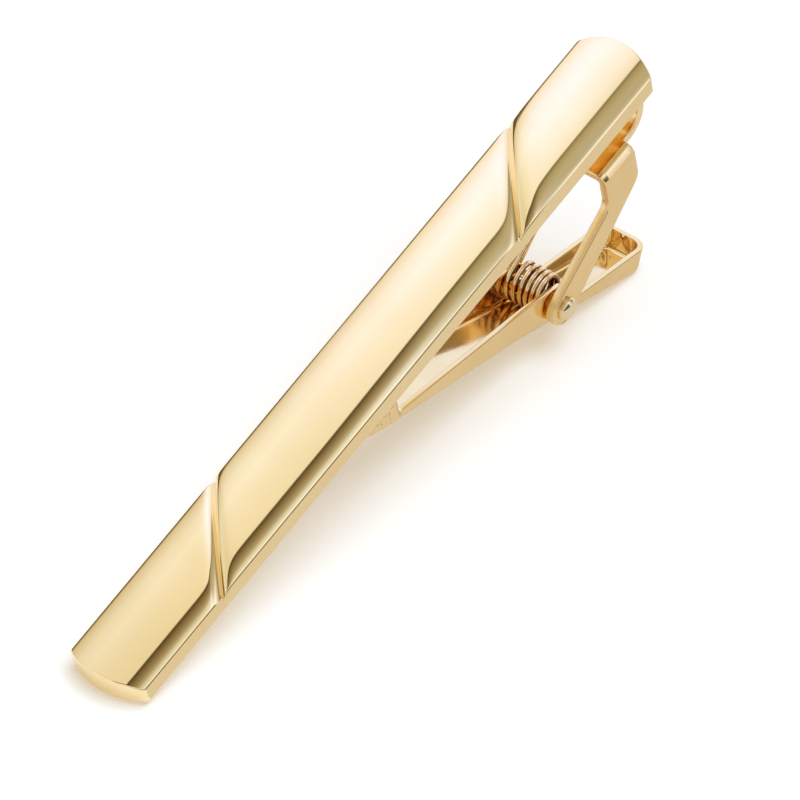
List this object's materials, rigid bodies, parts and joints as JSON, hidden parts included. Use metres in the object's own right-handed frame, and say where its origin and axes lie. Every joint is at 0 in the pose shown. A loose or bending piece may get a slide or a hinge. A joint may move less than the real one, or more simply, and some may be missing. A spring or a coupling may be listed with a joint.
{
  "type": "tie clip",
  "caption": "Slim crowned bar with slanting grooves, backed by a sprung toothed jaw that hinges on a folded bracket and clips a tie to a shirt.",
  "frame": {"origin": "middle of the bar's flat back face, where the tie is gripped", "axes": "+X along the bar to its hinge end, +Z out of the bar's front, +Y across the bar"},
  "size_m": [0.058, 0.0066, 0.0199],
  "materials": {
    "polished_gold": "mirror polish, gold plated",
    "pressed_gold": "polished, gold plated",
    "rivet_gold": "pale gold plated",
    "spring_wire": "drawn bronze wire"
  },
  "bodies": {
    "frame": {"front_bar": "polished_gold", "hinge_bracket": "pressed_gold", "hinge_pin": "rivet_gold", "torsion_spring": "spring_wire"},
    "jaw": {"clip_jaw": "pressed_gold"}
  },
  "joints": [
    {"name": "jaw_hinge", "type": "hinge", "parent": "frame", "child": "jaw", "pos_m": [0.0164, 0, -0.01075], "axis": [0, -1, 0], "range_deg": [0, 30], "stiffness_Nm_per_rad": 0.05, "springref_deg": -34.38, "deforming": ["torsion_spring"]}
  ]
}
